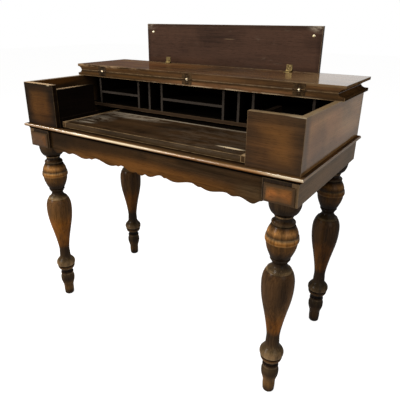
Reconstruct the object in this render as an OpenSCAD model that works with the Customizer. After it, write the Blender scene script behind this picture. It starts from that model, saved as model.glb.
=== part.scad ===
// Writing desk with a folding lid, a hinged fall front and a sliding writing bed.
// Millimetres, +Z up, +X to the writer's right, the writer sits on the -Y side.
// The lid is modelled folded back on the fixed top, with the fall front standing on it.

/* [Case] */
// Width of the case over its side walls
case_w = 1000; // [940:10:1100]
// Depth of the case from its front face to its back face
case_d = 492; // [484:2:530]
// Height of the walls above the case bottom
wall_h = 144; // [138:1:160]
// Thickness of the side walls and front cheeks
side_t = 16; // [12:1:20]
// Thickness of the back panel
back_t = 16; // [10:1:18]
// Thickness of the case bottom
bottom_t = 14; // [10:1:18]
// Width of each front cheek, from the side face to the front opening
cheek_w = 146; // [130:2:160]
// Thickness of the short partition behind each cheek
partition_t = 12; // [8:1:16]
// Length of the partition behind the cheek
partition_len = 162; // [120:2:200]
// How far the partition stops below the rim
partition_drop = 15; // [6:1:19]

/* [Under frame] */
// Height of the rails under the case
rail_h = 75; // [66:1:90]
// Thickness of the side and back rails
rail_t = 18; // [14:1:22]
// Width of each corner block, measured along the front
block_w = 78; // [70:1:90]
// Depth of the front corner blocks
block_front_d = 92; // [84:1:110]
// Depth of the back corner blocks
block_back_d = 74; // [70:1:90]
// Thickness of the scalloped apron
apron_t = 18; // [12:1:24]
// How far the apron lies behind the case front
apron_set = 8; // [4:1:14]
// Height of the apron at its straight edge
apron_h = 63; // [56:1:72]
// How much lower the apron's right end lies than its left end
apron_lean = 7; // [0:0.5:9]
// Half width of the small lobe in the middle
mid_lobe_half = 18; // [14:1:24]
// Drop of the middle lobe below the straight edge
mid_lobe_drop = 17.6; // [10:0.1:18]
// How far the cusp on each side of it rises above the middle lobe
cusp_rise = 7.5; // [4:0.1:9]
// Distance from that cusp to the lobe beside it
side_lobe_step = 16; // [12:1:22]
// Drop of the lobe beside the cusp
side_lobe_drop = 14.6; // [8:0.1:17]
// Distance of the first arch from the middle
first_arch_x = 77; // [70:1:84]
// Drop of the first arch
first_arch_drop = 1.8; // [0:0.1:4]
// Distance from the first arch to the second, and on to the third
arch_pitch = 110; // [102:1:116]
// Distance from the first arch to the nick beside it
near_nick_step = 15; // [12:1:20]
// Distance from the second arch to the nick beside it
far_nick_step = 25; // [20:1:32]
// Drop of the nicks
nick_drop = 6.8; // [4:0.1:9]
// Width of the tooth beside each nick
tooth_w = 6.5; // [4:0.5:9]
// How far the tooth rises above the nick
tooth_rise = 1.4; // [0.8:0.1:3]
// Distance from a nick to the wide lobe beside it
wide_lobe_step = 33; // [26:1:40]
// Drop of the wide lobes
wide_lobe_drop = 10.9; // [8:0.1:14]
// Drop of the third arch
third_arch_drop = 2.7; // [0:0.1:5]
// Distance from the third arch to the small lobe beside it
small_lobe_step = 20; // [14:1:24]
// Drop of the small lobe
small_lobe_drop = 8.1; // [5:0.1:10]
// Distance from the third arch to the last one
last_arch_step = 41; // [34:1:46]
// Drop of the last arch
last_arch_drop = 4.4; // [1:0.1:5]
// Distance of the end lobe from the corner block
end_lobe_space = 27; // [22:1:34]
// Drop of the end lobe
end_lobe_drop = 14.4; // [8:0.1:17]
// Drop of the edge where it meets the corner block
end_drop = 1.1; // [0:0.1:4]

/* [Waist moulding] */
// How far the moulding stands out from the case
mould_out = 12.5; // [10:0.5:16]
// Height of the moulding
mould_h = 18; // [15:1:22]
// How far the moulding rises above the case bottom's upper face
mould_rise = 4; // [2:0.5:5]
// Radius of the rounded nose
nose_r = 5; // [3:0.5:6]

/* [Corner plates] */
// Width of the raised plate over each front corner block
plate_w = 82; // [60:1:88]
// Height of the raised plate
plate_h = 49; // [40:1:56]
// Thickness of the plate at its edge
plate_edge_t = 3; // [2:0.5:5]
// Further thickness at the plate's ridge
plate_ridge_t = 5; // [2:0.5:8]
// Distance of the plate's centre from the case side
plate_inset = 49; // [46:1:54]
// Gap between the moulding and the plate
plate_gap = 11; // [6:1:11]

/* [Turned legs] */
// Height of each leg from the floor to the corner block
leg_h = 636; // [600:2:670]
// Distance of the leg axis from the case side
leg_inset = 48.5; // [46:0.5:54]
// Distance of the front leg axis from the case front
leg_front_y = 45; // [44:1:52]
// Distance of the back leg axis from the case back
leg_back_y = 43; // [42:1:45]
// Diameter of the tenon that enters the corner block
tenon_d = 38; // [28:1:40]
// Height of the tenon
tenon_h = 46; // [30:1:48]
// Height of the foot, from the floor to the neck above it
foot_h = 115; // [103:1:124]
// Radius of the straight lower foot
foot_r = 18.7; // [16:0.1:22]
// Radius of the foot's collar
foot_collar_r = 26.2; // [25.5:0.1:30]
// Radius of the small ring on the foot's collar
foot_ring_r = 24.2; // [23:0.1:25]
// Radius of the neck above the foot
foot_neck_r = 19.5; // [18:0.1:22]
// Height of the ring above the foot
low_ring_h = 21; // [18:1:26]
// Radius of the ring
low_ring_r = 32.5; // [29:0.1:33.5]
// Height of the bulb, from the ring to the slender waist
bulb_h = 66; // [58:2:80]
// Radius of the bulb
bulb_r = 35.5; // [33:0.1:40]
// Radius of the slender waist
waist_r = 19.2; // [17:0.1:22]
// Radius of the vase at its widest
vase_r = 45.8; // [43:0.1:47]
// Height of the vase's round shoulder
shoulder_h = 50; // [42:1:58]
// Height of everything above the vase
head_h = 197; // [187:1:206]
// Radius of the neck above the vase
head_neck_r = 20.5; // [18:0.1:23]
// Radius of the ring under the ball
high_ring_r = 27.8; // [26.5:0.1:30]
// Height of the ball
ball_h = 95; // [88:1:98]
// Radius of the ball at its lower end
ball_low_r = 28.2; // [26:0.1:30]
// Radius of the ball at its upper end
ball_high_r = 31.6; // [30:0.1:36]
// Radius of the ball under its band
ball_r = 42.2; // [39:0.1:44]
// Width of the raised band on the ball
band_h = 18; // [12:1:20]
// How far the band stands out from the ball
band_out = 3.3; // [1.5:0.1:4]
// Radius of the neck under the saucer
cap_neck_r = 23.4; // [21:0.1:27]
// Radius of the saucer that meets the case
saucer_r = 43.7; // [40:0.1:46]

/* [Writing bed] */
// Thickness of the sliding bed
bed_t = 18; // [15:1:20]
// Height of the runners under the bed
runner_h = 5.7; // [4:0.1:7]
// Width of each runner
runner_w = 12; // [8:1:16]
// Depth of the main writing board, front to back
bed_front_d = 229.5; // [210:0.5:240]
// Depth of the board behind it
bed_rear_d = 70; // [50:1:80]
// Width of the hardwood batten on each end
batten_w = 12; // [9:1:16]
// Gap between the bed and the guide on each side
bed_side_gap = 0.5; // [0.3:0.1:1.5]
// Gap between the bed's front edge and the closed fall front
bed_front_gap = 1.5; // [1:0.5:3]
// Thickness of the side guides
guide_t = 10; // [7:1:14]
// Height of the side guides
guide_h = 35; // [28:1:44]
// Length of each finger groove
pull_len = 62; // [50:1:80]
// Width of each finger groove
pull_w = 7; // [5:0.5:9]
// Depth of each finger groove
pull_deep = 3; // [2:0.5:5]
// Distance of the grooves from the bed's front edge
pull_y = 42; // [30:1:60]
// Distance of a groove's centre from the middle of the bed
pull_x = 289; // [240:1:290]

/* [Pigeonholes] */
// Depth of the pigeonholes
nest_d = 199; // [180:1:206]
// Thickness of their bottom board
nest_base_t = 11.5; // [9:0.5:14]
// Clearance over the sliding bed
nest_gap = 7; // [4:0.5:9]
// Thickness of the dividers and shelves
divider_t = 8; // [6:0.5:10]
// Space between the middle of each end divider and the case side
end_space = 64; // [54:1:80]
// Distance of the dividers outside the letter slots
outer_div_x = 230; // [222:1:240]
// Distance of the dividers between slot and slot
slot_div_x = 179.5; // [170:0.5:184]
// Distance of the dividers beside the middle space
mid_div_x = 124.5; // [116:0.5:132]
// Height of the shelves' upper face above the bottom board
shelf_rise = 47.5; // [40:0.5:54]
// Thickness and height of the cleats under the bottom board
cleat_t = 12; // [8:1:14]

/* [Top and lid] */
// Thickness of the fixed top
top_t = 20.5; // [17:0.5:24]
// How far top and lid stand out over the case
top_over = 9; // [7:0.5:12]
// Distance of the fold line from the case front
fold_y = 252; // [246:1:258]
// Height of the square lip at the boards' edge
lip_h = 9; // [6:0.5:11]
// Small step above the lip
lip_step = 2; // [1:0.5:3]
// Radius of the hollow above the lip
hollow_r = 18; // [15:0.5:24]

/* [Fall front] */
// Thickness of the fall front
fall_t = 14.5; // [11:0.5:15]
// How far the closed fall front lies behind the case front
fall_set = 2.5; // [1.5:0.5:4]
// Gap between the closed fall front and the case bottom
fall_foot_gap = 2; // [2:0.5:6]
// Gap at each end of the fall front
fall_side_gap = 2; // [1:0.5:4]
// Radius of the brass stop studs
stud_r = 5; // [3.5:0.5:7]
// Height of the studs
stud_h = 2.5; // [1.5:0.5:2.5]
// Distance of the studs from the ends of the fall front
stud_side = 28; // [20:1:40]
// Distance of the studs from its free edge
stud_drop = 30; // [20:1:40]

/* [Lid hinges] */
// Length of each lid hinge
lid_hinge_w = 38; // [32:1:50]
// Height of its leaves
lid_leaf_h = 17; // [15:0.5:18]
// Thickness of its leaves
lid_leaf_t = 1.4; // [1:0.1:1.6]
// Radius of its knuckles
lid_knuckle_r = 2.6; // [2.4:0.1:3]
// Distance of the outer lid hinges from the middle
lid_hinge_x = 381; // [340:1:400]
// Radius of the pins in the lid hinges
lid_pin_r = 1; // [0.8:0.1:1.2]

/* [Fall hinges] */
// Length of each fall hinge
fall_hinge_w = 21; // [18:1:30]
// Width of its leaves
fall_leaf_w = 20; // [17:0.5:24]
// Thickness of its leaves
fall_leaf_t = 1.2; // [1:0.1:1.6]
// Radius of its knuckles
fall_knuckle_r = 2.4; // [2.2:0.1:2.8]
// Distance of the fall hinges from the middle
fall_hinge_x = 252; // [220:1:300]
// Radius of the pins in the fall hinges
fall_pin_r = 0.9; // [0.7:0.1:1.1]

/* [Screws and fits] */
// Radius of the screw heads
screw_head_r = 2.6; // [2:0.1:3]
// Radius of the screw shanks
screw_r = 1.2; // [0.9:0.1:1.4]
// Length of the screws
screw_len = 10; // [8:0.5:11]
// Radial clearance of the pins in their knuckles
pin_gap = 0.05; // [0.02:0.01:0.09]
// Gap between two moving pieces
run_gap = 0.3; // [0.3:0.05:0.5]
// Gap between the folded lid and the fixed top
fold_gap = 0.5; // [0.4:0.1:1]
// Gap of a screw or tenon in its hole
fit_gap = 0.1; // [0.05:0.01:0.2]

/* [Hidden] */

left = -1;
right = 1;
fine = 48;

// Heights and half widths of the case
deck_z = leg_h + rail_h;
frame_top_z = deck_z - bottom_t;
rim_z = deck_z + wall_h;
top_z = rim_z + top_t;
half_w = case_w / 2;
inner_x = half_w - side_t;
end_div_x = inner_x - end_space;
rail_in_x = half_w - rail_t;
block_in_x = rail_in_x - block_w;
open_x = half_w - cheek_w;
back_in_y = case_d - back_t;
back_rail_y = case_d - rail_t;

// The legs stand under the corner blocks
leg_x = half_w - leg_inset;
leg_rear_y = case_d - leg_back_y;

// The lid folds about a line just above the fixed top
fold_z = top_z + fold_gap / 2;
lid_t = top_t - run_gap;
lid_low_z = top_z + fold_gap;
lid_top_z = lid_low_z + lid_t;
edge_y = fold_y + run_gap;
lid_back_y = 2 * fold_y + top_over;
board_half_w = half_w + top_over;

// The fall front stands on the folded lid
fall_out_y = 2 * fold_y - fall_set;
fall_in_y = fall_out_y - fall_t;
fall_low_z = lid_top_z + run_gap;
fall_high_z = 2 * fold_z - deck_z - fall_foot_gap;
fall_half_w = open_x - fall_side_gap;
fall_reach = fall_knuckle_r + run_gap;
fall_axis_y = fall_in_y - fall_reach;
fall_axis_z = lid_top_z + fall_reach;

// The bed starts just behind the closed fall front
bed_front_y = fall_set + fall_t + bed_front_gap;
bed_seam_y = bed_front_y + bed_front_d;
bed_back_y = bed_seam_y + bed_rear_d;
bed_low_z = deck_z + runner_h + run_gap;
bed_top_z = bed_low_z + bed_t;
guide_in_x = open_x - guide_t;
batten_out_x = guide_in_x - bed_side_gap;
batten_in_x = batten_out_x - batten_w;

// The pigeonholes stand on their own bottom board
nest_low_z = bed_top_z + nest_gap;
nest_floor_z = nest_low_z + nest_base_t;
nest_front_y = back_in_y - nest_d;
shelf_top_z = nest_floor_z + shelf_rise;

// Small set-backs of the inner pieces
guide_set = 3;
runner_set = 7.5;
stop_gap = 6;
cleat_set = 13;

// Middle of the whole object, front to back
origin_y = (lid_back_y - mould_out) / 2;

module place() {
    translate([0, -origin_y, 0]) children();
}

module bar(low, high) {
    translate(low) cube(high - low);
}

// A piece of the left side is the mirror image of the right one
module on_side(side) {
    mirror([side == left ? 1 : 0, 0, 0]) children();
}

// Extrudes a (y, z) outline along X
module along_x(x_low, x_high) {
    translate([x_low, 0, 0]) rotate([90, 0, 90]) linear_extrude(x_high - x_low) children();
}

// Leg outline pieces, each a list of [radius, height] points

// Round that starts upright and ends level, or stops early at the last angle
function round_off(z0, r0, z1, r1, last = 90) =
    [for (a = [0 : 10 : last]) [r1 + (r0 - r1) * cos(a), z0 + (z1 - z0) * sin(a)]];

// Round that starts level and ends upright
function round_on(z0, r0, z1, r1) =
    [for (a = [0 : 10 : 90]) [r0 + (r1 - r0) * sin(a), z1 + (z0 - z1) * cos(a)]];

// Double curve, upright at both ends
function ogee(z0, r0, z1, r1) =
    [for (t = [0 : 0.1 : 1]) [r0 + (r1 - r0) * (1 - cos(180 * t)) / 2, z0 + (z1 - z0) * t]];

// Flank that starts at its steepest and ends upright
function swell(z0, r0, z1, r1) =
    [for (t = [0 : 0.1 : 1]) [r0 + (r1 - r0) * sin(90 * t), z0 + (z1 - z0) * t]];

// Flank that starts upright and ends at its steepest
function sweep_in(z0, r0, z1, r1) =
    [for (t = [0 : 0.1 : 1]) [r0 + (r1 - r0) * (1 - cos(90 * t)), z0 + (z1 - z0) * t]];

// Cove that starts at its flattest and ends upright
function sweep_out(z0, r0, z1, r1) =
    [for (t = [0 : 0.1 : 1]) [r1 + (r0 - r1) * (1 - sin(90 * t)), z0 + (z1 - z0) * t]];

// Slightly hollow flank
hollow_power = 1.35;
function flank(z0, r0, z1, r1) =
    [for (t = [0 : 0.1 : 1]) [r0 + (r1 - r0) * pow(t, hollow_power), z0 + (z1 - z0) * t]];

// Half round ring standing out from radius r
function bead(z0, z1, r, out) =
    [for (a = [0 : 15 : 180]) [r + out * sin(a), (z0 + z1) / 2 - (z1 - z0) / 2 * cos(a)]];

// Foot, from the floor to the neck above it
function foot_outline() = concat(
    [[0, 0]],
    round_on(0, foot_r - 7.5, 7, foot_r - 0.9),
    ogee(9, foot_r - 0.8, 22, foot_r),
    ogee(foot_h - 79, foot_r, foot_h - 41, foot_collar_r),
    ogee(foot_h - 33, foot_collar_r, foot_h - 20, foot_ring_r - 1),
    bead(foot_h - 19, foot_h - 9, foot_ring_r - 1.6, 1.6),
    ogee(foot_h - 8, foot_neck_r + 1, foot_h, foot_neck_r));

// Ring and bulb, parted by a scribed line
ring_z = foot_h + 4;
bulb_z = ring_z + low_ring_h;
waist_z = bulb_z + bulb_h;
line_in = 2;
function bulb_outline() = concat(
    round_on(ring_z, foot_neck_r + 3.5, bulb_z - 5, low_ring_r),
    [[low_ring_r - 0.5, bulb_z - 4],
     [low_ring_r - line_in - 0.5, bulb_z - 3],
     [low_ring_r - line_in - 0.3, bulb_z - 1.5]],
    round_on(bulb_z - 0.5, low_ring_r + 0.3, bulb_z + 9, bulb_r),
    ogee(bulb_z + 10, bulb_r, bulb_z + 39, waist_r + 1.2),
    ogee(bulb_z + 42, waist_r + 1.1, waist_z, waist_r));

// Vase with its round shoulder, a scribed line and the slope above it
vase_top_z = leg_h - head_h;
vase_wide_z = vase_top_z - shoulder_h;
vase_mid_z = vase_wide_z - 96;
vase_mid_r = waist_r + 0.52 * (vase_r - waist_r);
slope_low_r = head_neck_r + 0.53 * (vase_r - head_neck_r);
slope_high_r = head_neck_r + 0.24 * (vase_r - head_neck_r);
function vase_outline() = concat(
    flank(waist_z + 2, waist_r, vase_mid_z, vase_mid_r),
    swell(vase_mid_z + 2, vase_mid_r + 0.3, vase_wide_z - 8, vase_r),
    round_off(vase_wide_z, vase_r, vase_top_z - 2, head_neck_r + 1.5, 50),
    [[slope_low_r + 1.2, vase_top_z - 10],
     [slope_low_r - 1.2, vase_top_z - 9],
     [slope_low_r - 1, vase_top_z - 7.5],
     [slope_low_r, vase_top_z - 7],
     [slope_high_r, vase_top_z - 1]]);

// Ring, ball with its band, and the collar above a deep line
high_ring_z = vase_top_z + 26;
ball_low_z = high_ring_z + 5;
ball_high_z = ball_low_z + ball_h;
band_low_z = ball_low_z + 47;
band_high_z = band_low_z + band_h;
collar_z = ball_high_z + 3;
cap_neck_z = collar_z + 15;
function head_outline() = concat(
    sweep_out(vase_top_z, slope_high_r - 0.8, vase_top_z + 10, head_neck_r),
    ogee(vase_top_z + 12, head_neck_r, high_ring_z - 5, high_ring_r - 3),
    bead(high_ring_z - 4, high_ring_z + 3, high_ring_r - 3, 3),
    [[ball_low_r - 1.6, ball_low_z - 1]],
    swell(ball_low_z, ball_low_r, band_low_z, ball_r),
    round_on(band_low_z + 0.1, ball_r + 0.2, band_low_z + 6, ball_r + band_out),
    ogee(band_low_z + 8, ball_r + band_out, band_high_z - 1, ball_r + 2),
    [[ball_r, band_high_z]],
    sweep_in(band_high_z + 1, ball_r, ball_high_z, ball_high_r),
    [[ball_high_r - 2.5, ball_high_z + 1],
     [ball_high_r - 2.5, ball_high_z + 2]],
    bead(collar_z, collar_z + 7, ball_high_r - 1, 1.2),
    sweep_out(collar_z + 8, ball_high_r - 1.8, cap_neck_z, cap_neck_r));

// Small ring, saucer and tenon
function cap_outline() = concat(
    bead(cap_neck_z + 5, cap_neck_z + 11, cap_neck_r + 0.3, 2),
    round_on(cap_neck_z + 12, cap_neck_r + 1.2, leg_h - 4, saucer_r),
    [[saucer_r, leg_h],
     [tenon_d / 2 - fit_gap, leg_h],
     [tenon_d / 2 - fit_gap, leg_h + tenon_h],
     [0, leg_h + tenon_h]]);

function leg_outline() = concat(foot_outline(), bulb_outline(), vase_outline(),
    head_outline(), cap_outline());

module leg(side, y) {
    color("#3a2516") place() translate([side * leg_x, y, 0])
        rotate_extrude($fn = fine) polygon(leg_outline());
}

module corner_block(side, y_low, y_high, leg_y) {
    color("#5a3819") place() on_side(side) difference() {
        bar([block_in_x, y_low, leg_h], [rail_in_x, y_high, frame_top_z]);
        translate([leg_x, leg_y, leg_h - 1])
            cylinder(h = tenon_h + 1.5, r = tenon_d / 2, $fn = fine);
    }
}

// Stretch of the apron's lower edge between two points [x, drop], without its end point.
// It leaves the first point level, or steeply where that is a cusp, and reaches the second
// point level, or steeply where that is the cusp.
edge_steps = 8;
function level_run(from, to) =
    [for (k = [0 : edge_steps - 1])
        let (t = k / edge_steps)
        [from.x + (to.x - from.x) * t, from.y + (to.y - from.y) * (1 - cos(180 * t)) / 2]];
function run_to_cusp(from, to) =
    [for (k = [0 : edge_steps - 1])
        let (t = k / edge_steps)
        [from.x + (to.x - from.x) * t, from.y + (to.y - from.y) * (1 - cos(90 * t))]];
function run_from_cusp(from, to) =
    [for (k = [0 : edge_steps - 1])
        let (t = k / edge_steps)
        [from.x + (to.x - from.x) * t, from.y + (to.y - from.y) * sin(90 * t)]];

// Right half of the lower edge, from the middle to the corner block
function half_edge() =
    let (arch_1 = first_arch_x,
         arch_2 = arch_1 + arch_pitch,
         arch_3 = arch_2 + arch_pitch,
         nick_1 = arch_1 + near_nick_step,
         nick_2 = arch_2 + far_nick_step,
         middle = [0, mid_lobe_drop],
         cusp = [mid_lobe_half, mid_lobe_drop - cusp_rise],
         side_lobe = [cusp.x + side_lobe_step, side_lobe_drop],
         peak_1 = [arch_1, first_arch_drop],
         peak_2 = [arch_2, 0],
         peak_3 = [arch_3, third_arch_drop],
         tooth_1 = [nick_1 + tooth_w, nick_drop - tooth_rise],
         tooth_2 = [nick_2 + tooth_w, nick_drop - tooth_rise],
         wide_lobe_1 = [nick_1 + wide_lobe_step, wide_lobe_drop],
         wide_lobe_2 = [nick_2 + wide_lobe_step, wide_lobe_drop],
         small_lobe = [arch_3 + small_lobe_step, small_lobe_drop],
         last_peak = [arch_3 + last_arch_step, last_arch_drop],
         end_lobe = [block_in_x - end_lobe_space, end_lobe_drop],
         corner = [block_in_x, end_drop])
    concat(
        run_to_cusp(middle, cusp),
        run_from_cusp(cusp, side_lobe),
        level_run(side_lobe, peak_1),
        level_run(peak_1, [nick_1, nick_drop]),
        [[nick_1, nick_drop]],
        run_from_cusp(tooth_1, wide_lobe_1),
        level_run(wide_lobe_1, peak_2),
        level_run(peak_2, [nick_2, nick_drop]),
        [[nick_2, nick_drop]],
        run_from_cusp(tooth_2, wide_lobe_2),
        level_run(wide_lobe_2, peak_3),
        level_run(peak_3, small_lobe),
        level_run(small_lobe, last_peak),
        level_run(last_peak, end_lobe),
        level_run(end_lobe, corner),
        [corner]);

// Apron between the front blocks, its lower edge scalloped and cut a little out of level
module apron_front() {
    half = half_edge();
    last = len(half) - 1;
    edge_z = frame_top_z - apron_h;
    lean = apron_lean / (2 * block_in_x);
    outline = concat(
        [for (k = [last : -1 : 1]) [-half[k].x, edge_z - half[k].y + lean * half[k].x]],
        [for (point = half) [point.x, edge_z - point.y - lean * point.x]],
        [[block_in_x, frame_top_z], [-block_in_x, frame_top_z]]);
    color("#6b4220") place() translate([0, apron_set + apron_t, 0]) rotate([90, 0, 0])
        linear_extrude(apron_t) polygon(outline);
}

module side_rail(side) {
    color("#4a2f1a") place() on_side(side)
        bar([rail_in_x, 0, leg_h], [half_w, case_d, deck_z]);
}

module back_rail() {
    color("#4a2f1a") place()
        bar([-rail_in_x, back_rail_y, leg_h], [rail_in_x, case_d, deck_z]);
}

// Raised plate with a hipped face, made where two roof shaped bars overlap
module corner_plate(side) {
    mid_x = half_w - plate_inset;
    high_z = deck_z + mould_rise - mould_h - plate_gap;
    low_z = high_z - plate_h;
    ridge_y = -plate_edge_t - plate_ridge_t;
    ridge_half = (plate_w - plate_h) / 2;
    color("#6b4220") place() on_side(side) intersection() {
        along_x(mid_x - plate_w / 2, mid_x + plate_w / 2) polygon([
            [0, low_z], [-plate_edge_t, low_z], [ridge_y, (low_z + high_z) / 2],
            [-plate_edge_t, high_z], [0, high_z]]);
        translate([mid_x, 0, low_z]) linear_extrude(plate_h) polygon([
            [-plate_w / 2, 0], [-plate_w / 2, -plate_edge_t], [-ridge_half, ridge_y],
            [ridge_half, ridge_y], [plate_w / 2, -plate_edge_t], [plate_w / 2, 0]]);
    }
}

// Moulding section: flat top, round nose and a cove that runs back to the wall
module moulding_section() {
    high_z = deck_z + mould_rise;
    low_z = high_z - mould_h;
    cove_x = mould_out - nose_r + 1;
    cove_r = min(mould_h - 2 * nose_r, cove_x - 0.5);
    difference() {
        union() {
            translate([0, low_z]) square([cove_x, mould_h - nose_r]);
            translate([0, high_z - 2 * nose_r]) square([mould_out - nose_r, 2 * nose_r]);
            translate([mould_out - nose_r, high_z - nose_r]) circle(r = nose_r, $fn = fine);
        }
        translate([cove_x, low_z]) circle(r = cove_r, $fn = fine);
    }
}

// The mouldings meet on the diagonal of the front corners
module waist_moulding_front() {
    color("#8a5a30") place() intersection() {
        along_x(-half_w - mould_out, half_w + mould_out) mirror([1, 0]) moulding_section();
        linear_extrude(rim_z) polygon([
            [-half_w, 0], [-half_w - mould_out, -mould_out],
            [half_w + mould_out, -mould_out], [half_w, 0]]);
    }
}

module waist_moulding_side(side) {
    color("#5a3a20") place() on_side(side) intersection() {
        translate([half_w, case_d, 0]) rotate([90, 0, 0])
            linear_extrude(case_d + mould_out) moulding_section();
        linear_extrude(rim_z) polygon([
            [half_w, 0], [half_w + mould_out, -mould_out],
            [half_w + mould_out, case_d], [half_w, case_d]]);
    }
}

module case_bottom() {
    color("#3b2716") place()
        bar([-rail_in_x, 0, frame_top_z], [rail_in_x, back_rail_y, deck_z]);
}

// Side panel and cheek are mitred together at the front corner
module side_panel(side) {
    color("#6a5238") place() on_side(side) translate([0, 0, deck_z])
        linear_extrude(wall_h) polygon([
            [half_w, 0], [half_w, case_d], [inner_x, case_d], [inner_x, side_t]]);
}

module front_cheek(side) {
    color("#6b4220") place() on_side(side) translate([0, 0, deck_z])
        linear_extrude(wall_h) polygon([
            [open_x, 0], [half_w, 0], [inner_x, side_t], [open_x, side_t]]);
}

module back_panel() {
    color("#4a2f1a") place() bar([-inner_x, back_in_y, deck_z], [inner_x, case_d, rim_z]);
}

module partition(side) {
    color("#4a2f1a") place() on_side(side)
        bar([open_x, side_t, deck_z],
            [open_x + partition_t, side_t + partition_len, rim_z - partition_drop]);
}

module bed_guide(side) {
    color("#3b2716") place() on_side(side)
        bar([guide_in_x, side_t + guide_set, deck_z],
            [open_x, side_t + partition_len, deck_z + guide_h]);
}

module bed_runner(side) {
    out_x = batten_out_x - 1.5;
    color("#3b2716") place() on_side(side)
        bar([out_x - runner_w, bed_front_y + runner_set, deck_z],
            [out_x, back_in_y - stop_gap, deck_z + runner_h]);
}

module pigeonhole_cleats() {
    color("#3b2716") for (side = [left, right])
        place() on_side(side)
            bar([inner_x - cleat_t, nest_front_y + cleat_set, nest_low_z - cleat_t],
                [inner_x, back_in_y - stop_gap, nest_low_z]);
}

module pigeonhole_base() {
    color("#3b2716") place()
        bar([-inner_x, nest_front_y, nest_low_z], [inner_x, back_in_y, nest_floor_z]);
}

module divider(x) {
    color("#33210f") place()
        bar([x - divider_t / 2, nest_front_y, nest_floor_z],
            [x + divider_t / 2, back_in_y, rim_z]);
}

// Shelf between the dividers centred at the two places given
module shelf(x_low, x_high) {
    color("#33210f") place()
        bar([x_low + divider_t / 2, nest_front_y, shelf_top_z - divider_t],
            [x_high - divider_t / 2, back_in_y, shelf_top_z]);
}

// Cuts the step and the hollow along an edge that lies on the X axis, +Y outward
module edge_cut(length) {
    translate([-length / 2, -lip_step, lip_h]) cube([length, lip_step + 1, 2 * hollow_r]);
    translate([0, -lip_step, lip_h + hollow_r]) rotate([0, 90, 0])
        cylinder(h = length, r = hollow_r, center = true, $fn = 2 * fine);
}

// Board with a moulded back edge and moulded ends, its lip on z = 0
module moulded_board(back_y, thickness) {
    difference() {
        bar([-board_half_w, edge_y, 0], [board_half_w, back_y, thickness]);
        translate([0, back_y, 0]) edge_cut(2 * board_half_w + 2);
        for (side = [left, right])
            translate([side * board_half_w, edge_y, 0]) rotate([0, 0, -90 * side])
                edge_cut(2 * case_d);
    }
}

// Countersunk slotted screw along +Z, its head's face on z = 0
module screw(head_t) {
    slot_w = 0.6;
    slot_deep = 0.5;
    point_h = 3;
    difference() {
        union() {
            cylinder(h = head_t, r1 = screw_head_r, r2 = screw_r, $fn = fine);
            cylinder(h = screw_len - point_h, r = screw_r, $fn = fine);
            translate([0, 0, screw_len - point_h])
                cylinder(h = point_h, r1 = screw_r, r2 = 0.3, $fn = fine);
        }
        translate([-screw_head_r, -slot_w / 2, -1])
            cube([2 * screw_head_r, slot_w, slot_deep + 1]);
    }
}

// Countersunk hole for that screw in a hinge leaf
module screw_hole(head_t) {
    cylinder(h = head_t, r1 = screw_head_r + fit_gap, r2 = screw_r + fit_gap, $fn = fine);
    pilot_hole();
}

// Plain hole for the screw's shank
module pilot_hole() {
    translate([0, 0, -1]) cylinder(h = screw_len + 1.5, r = screw_r + fit_gap, $fn = fine);
}

// Knuckles of one leaf on the X axis: every second one, starting with the given one
module knuckles(width, radius, count, first) {
    step = width / count;
    for (k = [first : 2 : count - 1])
        translate([-width / 2 + k * step + run_gap / 2, 0, 0]) rotate([0, 90, 0])
            cylinder(h = step - run_gap, r = radius, $fn = fine);
}

// Room that the other leaf's knuckles need
module knuckle_room(width, radius, count, first) {
    step = width / count;
    for (k = [first : 2 : count - 1])
        translate([-width / 2 + k * step - run_gap / 2, 0, 0]) rotate([0, 90, 0])
            cylinder(h = step + run_gap, r = radius + run_gap, $fn = fine);
}

module pin(width, radius) {
    rotate([0, 90, 0]) cylinder(h = width, r = radius, center = true, $fn = fine);
}

// Lid hinges, three butt hinges let into the meeting edges of lid and top
lid_knuckles = 5;
lid_screw_z = -0.6 * lid_leaf_h;

module at_lid_hinges() {
    place() for (x = [-lid_hinge_x, 0, lid_hinge_x])
        translate([x, fold_y, fold_z]) children();
}

module at_lid_screws() {
    for (k = [-1 : 1])
        translate([k * lid_hinge_w / 3, run_gap, lid_screw_z]) rotate([-90, 0, 0]) children();
}

module lid_leaf(first) {
    difference() {
        union() {
            difference() {
                bar([-lid_hinge_w / 2, run_gap, -fold_gap / 2 - lid_leaf_h],
                    [lid_hinge_w / 2, run_gap + lid_leaf_t, -fold_gap / 2]);
                knuckle_room(lid_hinge_w, lid_knuckle_r, lid_knuckles, 1 - first);
            }
            knuckles(lid_hinge_w, lid_knuckle_r, lid_knuckles, first);
        }
        pin(lid_hinge_w + 1, lid_pin_r + pin_gap);
        at_lid_screws() screw_hole(lid_leaf_t);
    }
}

// Mortise and screw holes for one leaf in the edge of a board
module lid_leaf_seat() {
    notch_r = lid_knuckle_r + run_gap + fit_gap;
    pin(lid_hinge_w + 2 * run_gap, notch_r);
    bar([-lid_hinge_w / 2 - fit_gap, -1, -fold_gap / 2 - lid_leaf_h - fit_gap],
        [lid_hinge_w / 2 + fit_gap, run_gap + lid_leaf_t, 0]);
    at_lid_screws() pilot_hole();
}

module lid_hinge_top_leaves() {
    color("#b08d45") at_lid_hinges() lid_leaf(0);
}

module lid_hinge_lid_leaves() {
    color("#b08d45") at_lid_hinges() mirror([0, 0, 1]) lid_leaf(1);
}

module lid_hinge_pins() {
    color("#8f7a4a") at_lid_hinges() pin(lid_hinge_w, lid_pin_r);
}

module top_screws() {
    color("#8f7a4a") at_lid_hinges() at_lid_screws() screw(lid_leaf_t);
}

// Fall hinges, two butt hinges laid on the faces of lid and fall front
fall_knuckles = 3;
fall_screw_out = 0.6 * fall_leaf_w;

module at_fall_hinges() {
    place() for (x = [-fall_hinge_x, fall_hinge_x])
        translate([x, fall_axis_y, fall_axis_z]) children();
}

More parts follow.
